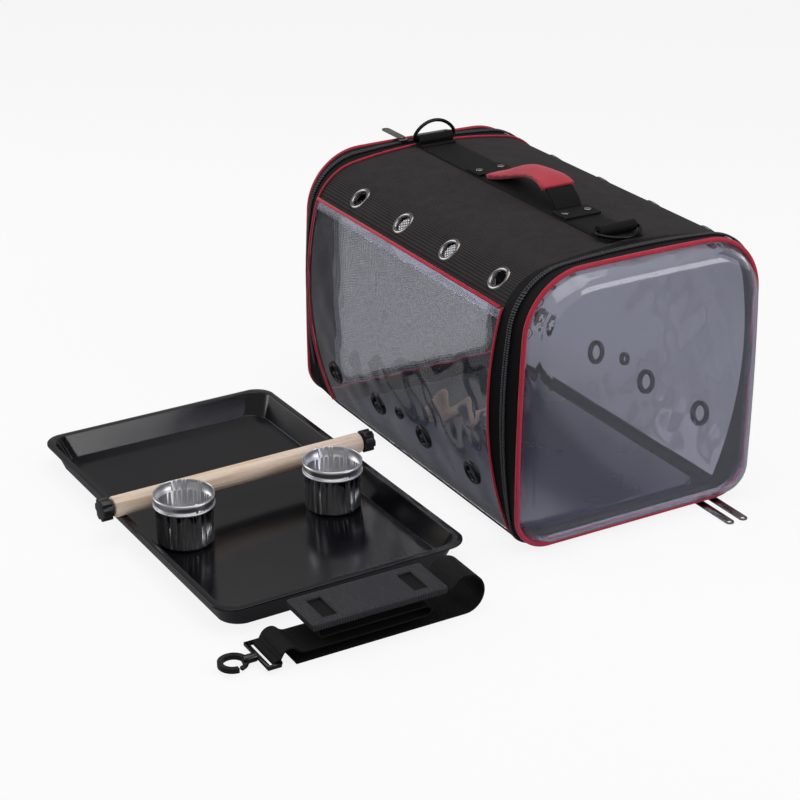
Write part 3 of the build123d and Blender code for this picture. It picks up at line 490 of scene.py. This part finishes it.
def circle_through(a, b, c):
    """Centre and radius of the circle through three points of a plane."""
    d = 2 * (a[0] * (b[1] - c[1]) + b[0] * (c[1] - a[1]) + c[0] * (a[1] - b[1]))
    sa, sb, sc = (point[0] ** 2 + point[1] ** 2 for point in (a, b, c))
    centre = Vector(((sa * (b[1] - c[1]) + sb * (c[1] - a[1]) + sc * (a[1] - b[1])) / d,
                     (sa * (c[0] - b[0]) + sb * (a[0] - c[0]) + sc * (b[0] - a[0])) / d))
    return centre, (Vector(a) - centre).length


def barrel_curve():
    """The skin's cross-section on the +Y side, from the table up to the crown, as closely set points."""
    side, side_radius = circle_through(*BELLY)
    roof, roof_radius = circle_through(*CROWN)
    gap = side - roof
    inner_side, inner_roof = side_radius - EAVE_CORNER, roof_radius - EAVE_CORNER
    along = (inner_roof ** 2 - inner_side ** 2 + gap.length ** 2) / (2 * gap.length)
    across = sqrt(inner_roof ** 2 - along ** 2)
    aim = gap.normalized()
    corner = roof + aim * along + Vector((aim.y, -aim.x)) * across
    if corner.x < 0:
        corner = roof + aim * along - Vector((aim.y, -aim.x)) * across
    points = []
    low = atan2(-side.y, sqrt(side_radius ** 2 - side.y ** 2))
    join_side = atan2((corner - side).y, (corner - side).x)
    join_roof = atan2((corner - roof).y, (corner - roof).x)
    for centre, radius, start, end, count in ((side, side_radius, low, join_side, SIDE_STEPS),
                                              (corner, EAVE_CORNER, join_side, join_roof, CORNER_STEPS),
                                              (roof, roof_radius, join_roof, pi / 2, ROOF_STEPS)):
        for step in range(count):
            angle = start + (end - start) * step / count
            points.append(centre + Vector((cos(angle), sin(angle))) * radius)
    points.append(Vector((0, CROWN[1][1])))
    return points


def curve_lengths(points):
    lengths = [0.0]
    for first, second in zip(points, points[1:]):
        lengths.append(lengths[-1] + (second - first).length)
    return lengths


def along_curve(points, lengths, distance):
    """The point at a distance along the curve, and the outward normal there."""
    index = min(max(bisect(lengths, distance), 1), len(points) - 1)
    first, second = points[index - 1], points[index]
    share = (distance - lengths[index - 1]) / (lengths[index] - lengths[index - 1])
    heading = (second - first).normalized()
    return first.lerp(second, share), Vector((heading.y, -heading.x))


def wave_depth(x, up, places, height):
    """How far soft sheet bows at a place, nil at its seams and round its grommets."""
    edge = min(1.0, (HALF_LENGTH - abs(x)) / SEAM_FADE, up / SEAM_FADE, (height - up) / SEAM_FADE)
    for place_x, place_up in places:
        edge *= 1 - FALL_BASE ** (-((x - place_x) ** 2 + (up - place_up) ** 2) / STILL_RADIUS ** 2)
    ripples = sum(sin(x * turn_x + up * turn_up + phase) * share for turn_x, turn_up, phase, share in RIPPLES)
    return edge * sizes().window_wave * (ripples - RIPPLE_LEVEL)


def skin_patch(name, low, high, side, wall, wavy=False):
    """A finely divided stretch of the skin between two heights.

    Side 0 is the roof: it runs from the low height on one side to the same height on the other."""
    cell = sizes().skin_cell
    points = barrel_curve()
    lengths = curve_lengths(points)
    start = lengths[next(i for i, point in enumerate(points) if point.y >= low)]
    if side:
        end = lengths[next(i for i, point in enumerate(points) if point.y >= high)]
        places = [(x, GROMMET_ALONG - low) for x in SIDE_GROMMETS] + [(EYELET_X, EYELET_ALONG - low)]
    else:
        end = 2 * lengths[-1] - start
        places = []
    bpy.ops.object.select_all(action="DESELECT")
    bpy.ops.mesh.primitive_grid_add(x_subdivisions=round(2 * HALF_LENGTH / cell),
                                    y_subdivisions=round((end - start) / cell), size=2)
    patch = bpy.context.object
    patch.name = name
    for vertex in patch.data.vertices:
        x = vertex.co.x * HALF_LENGTH
        distance = start + (vertex.co.y + 1) / 2 * (end - start)
        over = distance > lengths[-1]
        place, normal = along_curve(points, lengths, 2 * lengths[-1] - distance if over else distance)
        if wavy:
            place = place + normal * wave_depth(x, distance - start, places, end - start)
        vertex.co = (x, place.x * (side or (-1 if over else 1)), place.y)
    bpy.ops.object.mode_set(mode="EDIT")
    bpy.ops.mesh.select_all(action="SELECT")
    bpy.ops.mesh.normals_make_consistent(inside=False)
    bpy.ops.object.mode_set(mode="OBJECT")
    middle = patch.data.polygons[len(patch.data.polygons) // 2]
    outwards = Vector((0, side, 0)) if side else Vector((0, 0, 1))
    if middle.normal.dot(outwards) < 0:
        patch.data.flip_normals()
    thicken(patch, wall)
    return patch


def punch(piece, places, radius):
    """Cuts round holes through a piece, each at a place and along a normal."""
    cutters = []
    for place, normal in places:
        bpy.ops.object.select_all(action="DESELECT")
        bpy.ops.mesh.primitive_cylinder_add(vertices=48, radius=radius, depth=CUTTER_DEPTH, location=place,
                                            rotation=normal.to_track_quat("Z", "Y").to_euler())
        cutters.append(bpy.context.object)
    for cutter in cutters:
        cutter.select_set(True)
    bpy.context.view_layer.objects.active = cutters[0]
    bpy.ops.object.join()
    cutter = bpy.context.object
    select_only(piece)
    cut = piece.modifiers.new("holes", "BOOLEAN")
    cut.operation = "DIFFERENCE"
    cut.solver = "EXACT"
    cut.object = cutter
    bpy.ops.object.modifier_apply(modifier=cut.name)
    bpy.data.objects.remove(cutter)


def skin_place(height, side, x):
    """The place on the skin at a height, and its outward normal."""
    points = barrel_curve()
    lengths = curve_lengths(points)
    index = next(i for i, point in enumerate(points) if point.y >= height)
    place, normal = along_curve(points, lengths, lengths[index])
    return Vector((x, side * place.x, place.y)), Vector((0, side * normal.x, normal.y))


def eave_corner_height():
    """The height of the middle of the rounded corner between the side and the roof."""
    return barrel_curve()[SIDE_STEPS + CORNER_STEPS // 2].y


# ------------------------------------------------------------------ operators
class CARRIER_OT_cabin(bpy.types.Operator):
    """Finishes the cabin's cloth, boards, bands and piping"""
    bl_idname = "carrier.cabin"
    bl_label = "Cabin"

    def execute(self, context):
        roof = skin_patch("roof_cloth", SIDE_TOP + SEAM_GAP, 0, 0, sizes().roof_cloth)
        height = eave_corner_height()
        punch(roof, [skin_place(height, side, x) for side in (-1, 1) for x in ROOF_GROMMETS],
              sizes().grommet_hole)
        bpy.ops.object.shade_smooth_by_angle(angle=SKIN_ANGLE)
        seat(roof, "roof_fabric", "cabin", "roof_panel")
        for node in ("roof_board", "floor_panel", "floor_board", "front_band", "rear_band",
                     "front_door_band", "rear_door_band", "rear_door_panel", "rear_door_mesh"):
            smooth_copy(node)
        for node in frame["nodes"]:
            if "piping" in node or "coil" in node or "grommets" in node or "eyelet" in node:
                smooth_copy(node, 50.0)
        return {"FINISHED"}


class CARRIER_OT_windows(bpy.types.Operator):
    """Models the soft clear side windows and the doubled strip along their tops"""
    bl_idname = "carrier.windows"
    bl_label = "Side windows"

    def execute(self, context):
        for side, side_name in ((-1, "left"), (1, "right")):
            window = skin_patch(f"side_window_{side_name}_pvc", SIDE_FOOT, SIDE_TOP - SEAM_GAP, side,
                                sizes().window_sheet, True)
            punch(window, [skin_place(GROMMET_HEIGHT, side, x) for x in SIDE_GROMMETS],
                  sizes().grommet_hole)
            punch(window, [skin_place(EYELET_HEIGHT, side, EYELET_X)], sizes().eyelet_hole)
            bpy.ops.object.shade_smooth_by_angle(angle=SKIN_ANGLE)
            seat(window, "clear_pvc", "cabin", f"side_window_{side_name}")
            strip = skin_patch(f"side_window_{side_name}_hem", HEM_FOOT, SIDE_TOP - SEAM_GAP, side,
                               sizes().hem)
            for vertex in strip.data.vertices:
                vertex.co.y += side * sizes().hem * HEM_STAND_OFF
            bpy.ops.object.shade_smooth_by_angle(angle=SKIN_ANGLE)
            seat(strip, "clear_shell", "cabin")
        return {"FINISHED"}


class CARRIER_OT_front_cover(bpy.types.Operator):
    """Finishes the clear moulded front cover"""
    bl_idname = "carrier.front_cover"
    bl_label = "Front cover"

    def execute(self, context):
        smooth_copy("front_cover_shell", 60.0)
        return {"FINISHED"}


ARCH_START, ARCH_END = -0.0437, 0.0747
ARCH_FOOT = 0.2638
GRIP_START, GRIP_END = 0.05, 0.86
ARCH_PEAK = 0.6             # the arch leans: its top is this share of the way along
ARCH_LEAN = 1.36
FRONT_FALL = 0.7            # under 1 makes the front of the arch steeper
PINCH_REACH = 1.15          # the edges are back at full width this side of the front foot
PINCH_ROUND = 1.5
PINCH = 0.35                # how much of its width the middle loses
TURN_DOWN = 0.0075          # how far the edges hang below the middle
EDGE_ROUND = 0.3            # the rounding of the edges, as a share of the wall


def arch_place(share):
    """A point of the handle's arch in the XZ plane, gently up from the rear and steeply down at the front."""
    swing = sin(pi * share ** ARCH_LEAN)
    height = sizes().arch_rise * swing ** (1.0 if share < ARCH_PEAK else FRONT_FALL)
    return ARCH_START + (ARCH_END - ARCH_START) * share, ARCH_FOOT + height


def arched_strip(name, start, end, half_width, wall):
    """A strip over part of the arch. Its middle is drawn in and its edges are turned down."""
    bpy.ops.object.select_all(action="DESELECT")
    bpy.ops.mesh.primitive_grid_add(x_subdivisions=48, y_subdivisions=14, size=2)
    strip = bpy.context.object
    strip.name = name
    for vertex in strip.data.vertices:
        share = start + (end - start) * (vertex.co.x + 1) / 2
        across = vertex.co.y
        x, z = arch_place(share)
        drawn = sin(pi * min(share * PINCH_REACH, 1.0)) ** PINCH_ROUND
        vertex.co = (x, across * half_width * (1 - PINCH * drawn), z - TURN_DOWN * drawn * across ** 2)
    thicken(strip, wall, 0)
    bevel = strip.modifiers.new("soft_edges", "BEVEL")
    bevel.width = wall * EDGE_ROUND
    bevel.segments = 3
    bevel.limit_method = "ANGLE"
    bpy.ops.object.modifier_apply(modifier=bevel.name)
    bpy.ops.object.shade_smooth_by_angle(angle=radians(60))
    return strip


class CARRIER_OT_handle(bpy.types.Operator):
    """Models the handle's webbing arch and the red cloth grip folded over it"""
    bl_idname = "carrier.handle"
    bl_label = "Handle"

    def execute(self, context):
        webbing = arched_strip("handle_webbing_arch", 0.0, 1.0, sizes().arch_width / 2,
                               sizes().arch_webbing)
        seat(webbing, "black_webbing", "cabin", "handle_webbing")
        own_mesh(webbing)
        grip = arched_strip("handle_grip_cloth", GRIP_START, GRIP_END, sizes().grip_width / 2,
                            sizes().grip_wall)
        seat(grip, "red_fabric", "handle", "handle_grip")
        return {"FINISHED"}


class CARRIER_OT_fittings(bpy.types.Operator):
    """Finishes the roof strap, handle tabs, D-rings, zip sliders and pulls"""
    bl_idname = "carrier.fittings"
    bl_label = "Fittings"

    def execute(self, context):
        for node in ("roof_strap", "front_ring_loop", "rear_ring_loop", "front_d_ring", "rear_d_ring",
                     "handle_tabs", "handle_rivets"):
            smooth_copy(node, 40.0)
        for node in frame["nodes"]:
            if "slider" in node or "pull" in node:
                smooth_copy(node, 40.0, 0.25)
        return {"FINISHED"}


CUPS = {"cup_a": (0.024, -0.362), "cup_b": (0.030, -0.218)}
CUP_RING_HEIGHT, CUP_RING_RADIUS = 0.03935, 0.0265
TWISTS, TWIST_DEPTH = 72, 0.22


def twisted_ring(place, radius, wire_radius):
    """The rope-like ring rolled into a cup's wall under its rim."""
    bpy.ops.object.select_all(action="DESELECT")
    bpy.ops.mesh.primitive_torus_add(major_segments=360, minor_segments=10, major_radius=radius,
                                     minor_radius=wire_radius, location=place)
    ring = bpy.context.object
    for vertex in ring.data.vertices:
        out = sqrt(vertex.co.x ** 2 + vertex.co.y ** 2)
        turn = atan2(vertex.co.y, vertex.co.x)
        tilt = atan2(vertex.co.z, out - radius)
        swell = 1 + TWIST_DEPTH * sin(turn * TWISTS + tilt)
        reach = radius + wire_radius * swell * cos(tilt)
        vertex.co = (reach * cos(turn), reach * sin(turn), wire_radius * swell * sin(tilt))
    bpy.ops.object.shade_smooth_by_angle(angle=radians(60))
    return ring


class CARRIER_OT_accessories(bpy.types.Operator):
    """Finishes the tray, cups and perch"""
    bl_idname = "carrier.accessories"
    bl_label = "Tray, cups and perch"

    def execute(self, context):
        smooth_copy("tray", 30.0, 0.5)
        for node in ("cup_a", "cup_b", "perch_dowel", "perch_stud_a", "perch_stud_b"):
            smooth_copy(node, 50.0)
        for node in ("perch_knob_a", "perch_knob_b"):
            smooth_copy(node, 40.0, 0.6)
        for name, (x, y) in CUPS.items():
            wire = twisted_ring((x, y, CUP_RING_HEIGHT), CUP_RING_RADIUS, sizes().ring_wire)
            wire.name = f"{name}_twisted_ring"
            seat(wire, "stainless", name)
        return {"FINISHED"}


PAD_X, PAD_TOP = 0.234, 0.0338
PAD_WINDOWS = (-0.337, -0.253)
PAD_WINDOW_DEPTH = 0.0026
PAD_WINDOW_SIZE = (0.0298, 0.0128, 1)


class CARRIER_OT_strap(bpy.types.Operator):
    """Models the shoulder strap, its pad and its snap hook"""
    bl_idname = "carrier.strap"
    bl_label = "Shoulder strap"

    def execute(self, context):
        for node in ("strap_webbing", "hook_eye"):
            smooth_copy(node, 40.0)
        for node in ("hook_body", "hook_gate"):
            smooth_copy(node, 40.0, 0.8)
        smooth_copy("shoulder_pad", 40.0, 1.2)
        for y in PAD_WINDOWS:
            bpy.ops.object.select_all(action="DESELECT")
            bpy.ops.mesh.primitive_grid_add(x_subdivisions=12, y_subdivisions=6, size=1,
                                            location=(PAD_X, y, PAD_TOP - PAD_WINDOW_DEPTH))
            inset = bpy.context.object
            inset.name = "pad_window_mesh"
            inset.scale = PAD_WINDOW_SIZE
            thicken(inset, sizes().pad_mesh)
            seat(inset, "black_webbing", "shoulder_strap")
        return {"FINISHED"}


# Each soft light: its name, place, aim, width in metres and power in watts.
LIGHTS = (
    ("ceiling_panel", (0.2, -0.1, 1.7), (0, 0, 0), 1.6, 14.0),
    ("left_panel", (-1.2, -1.3, 0.9), (0, 0, 0.1), 1.0, 9.0),
    ("right_panel", (1.5, 0.9, 0.9), (0, 0, 0.1), 0.9, 8.0),
)
FLOOR_SIZE, FLOOR_DROP = 14.0, -0.0004
PAPER, PAPER_IN_GLOSS = "#F4F4F4", "#6F7078"        # the floor as seen, and as it mirrors in glossy pieces
FLOOR_GLOW, GLOSS_GLOW = 0.86, 0.1                  # how far each is whitened
SKY_LIGHT, SKY_SEEN = 0.3, 1.0                      # strength as a light, and as seen
CAMERA_PLACE = (1.4740, -0.9775, 0.8460)
CAMERA_YAW, CAMERA_PITCH = radians(150.11), radians(-24.35)
CAMERA_SENSOR_MM, CAMERA_LENS_MM, CAMERA_NEAR = 36.0, 90.33, 0.05


class CARRIER_OT_stage(bpy.types.Operator):
    """Sets the floor, the soft lights, the world and the camera"""
    bl_idname = "carrier.stage"
    bl_label = "Stage"

    def execute(self, context):
        add_floor()
        add_world()
        for name, place, aim, size, power in LIGHTS:
            add_panel_light(name, Vector(place), Vector(aim), size, power)
        add_camera()
        return {"FINISHED"}


def add_floor():
    bpy.ops.object.select_all(action="DESELECT")
    bpy.ops.mesh.primitive_plane_add(size=FLOOR_SIZE, location=(0, 0, FLOOR_DROP))
    floor = bpy.context.object
    floor.name = "studio_floor"
    material, tree, coords = start_material("white_studio_paper")
    paths = add_node(tree, "ShaderNodeLightPath")
    seen = maths(tree, "MAXIMUM", paths.outputs["Is Camera Ray"],
                 maths(tree, "MAXIMUM", paths.outputs["Is Glossy Ray"], paths.outputs["Is Transmission Ray"]))
    paper_tone = mix_colours(tree, paths.outputs["Is Glossy Ray"], linear(PAPER), linear(PAPER_IN_GLOSS))
    paper = add_node(tree, "ShaderNodeBsdfDiffuse", Color=paper_tone)
    glow = add_node(tree, "ShaderNodeEmission", Color=linear("#FFFFFF"), Strength=1.0)
    share = remap(tree, paths.outputs["Is Glossy Ray"], 0.0, 1.0, FLOOR_GLOW, GLOSS_GLOW)
    share = maths(tree, "MULTIPLY", seen, share)
    mixed = add_node(tree, "ShaderNodeMixShader", _0=share, _1=paper.outputs[0], _2=glow.outputs[0])
    floor.data.materials.append(end_material(material, tree, mixed.outputs[0]))
    put_place_in_mesh(floor)


def add_world():
    world = bpy.data.worlds.new("studio")
    bpy.context.scene.world = world
    world.use_nodes = True
    tree = world.node_tree
    tree.nodes.clear()
    paths = add_node(tree, "ShaderNodeLightPath")
    seen = maths(tree, "MAXIMUM", paths.outputs["Is Camera Ray"], paths.outputs["Is Transmission Ray"])
    strength = remap(tree, seen, 0.0, 1.0, SKY_LIGHT, SKY_SEEN)
    sky = add_node(tree, "ShaderNodeBackground", Color=linear("#FFFFFF"), Strength=strength)
    add_node(tree, "ShaderNodeOutputWorld", Surface=sky.outputs[0])


def add_panel_light(name, place, aim, size, power):
    data = bpy.data.lights.new(name, "AREA")
    data.shape = "SQUARE"
    data.size = size
    data.energy = power
    lamp = bpy.data.objects.new(name, data)
    lamp.location = place
    lamp.rotation_euler = (aim - place).to_track_quat("-Z", "Y").to_euler()
    bpy.context.collection.objects.link(lamp)


def add_camera():
    """The camera looks down on the clear door's near corner from about 0.85 m above the table."""
    data = bpy.data.cameras.new("camera")
    data.sensor_width = CAMERA_SENSOR_MM
    data.lens = CAMERA_LENS_MM
    data.clip_start = CAMERA_NEAR
    camera = bpy.data.objects.new("camera", data)
    camera.location = CAMERA_PLACE
    yaw, pitch = CAMERA_YAW, CAMERA_PITCH
    forward = Vector((cos(yaw) * cos(pitch), sin(yaw) * cos(pitch), sin(pitch)))
    camera.rotation_euler = forward.to_track_quat("-Z", "Y").to_euler()
    bpy.context.collection.objects.link(camera)
    bpy.context.scene.camera = camera
    bpy.context.scene.view_settings.view_transform = "Standard"


class CARRIER_PT_panel(bpy.types.Panel):
    """Lists the carrier's pieces"""
    bl_idname = "CARRIER_PT_panel"
    bl_label = "Bird Carrier"
    bl_space_type = "VIEW_3D"
    bl_region_type = "UI"
    bl_category = "Bird Carrier"

    def draw(self, context):
        for operator in OPERATORS:
            self.layout.operator(operator.bl_idname)
        for group in (context.scene.carrier_sizes, context.scene.carrier_colours):
            for name in group.bl_rna.properties.keys():
                if name not in ("rna_type", "name"):
                    self.layout.prop(group, name)


OPERATORS = (
    CARRIER_OT_cabin,
    CARRIER_OT_windows,
    CARRIER_OT_front_cover,
    CARRIER_OT_handle,
    CARRIER_OT_fittings,
    CARRIER_OT_accessories,
    CARRIER_OT_strap,
    CARRIER_OT_stage,
)
CLASSES = (CarrierSizes, CarrierColours) + OPERATORS + (CARRIER_PT_panel,)


def register():
    for made in CLASSES:
        bpy.utils.register_class(made)
    bpy.types.Scene.carrier_sizes = bpy.props.PointerProperty(type=CarrierSizes)
    bpy.types.Scene.carrier_colours = bpy.props.PointerProperty(type=CarrierColours)


def unregister():
    del bpy.types.Scene.carrier_colours
    del bpy.types.Scene.carrier_sizes
    for made in reversed(CLASSES):
        bpy.utils.unregister_class(made)


def main():
    register()
    bpy.ops.carrier.cabin()
    bpy.ops.carrier.windows()
    bpy.ops.carrier.front_cover()
    bpy.ops.carrier.handle()
    bpy.ops.carrier.fittings()
    bpy.ops.carrier.accessories()
    bpy.ops.carrier.strap()
    bpy.ops.carrier.stage()


if __name__ == "__main__":
    main()
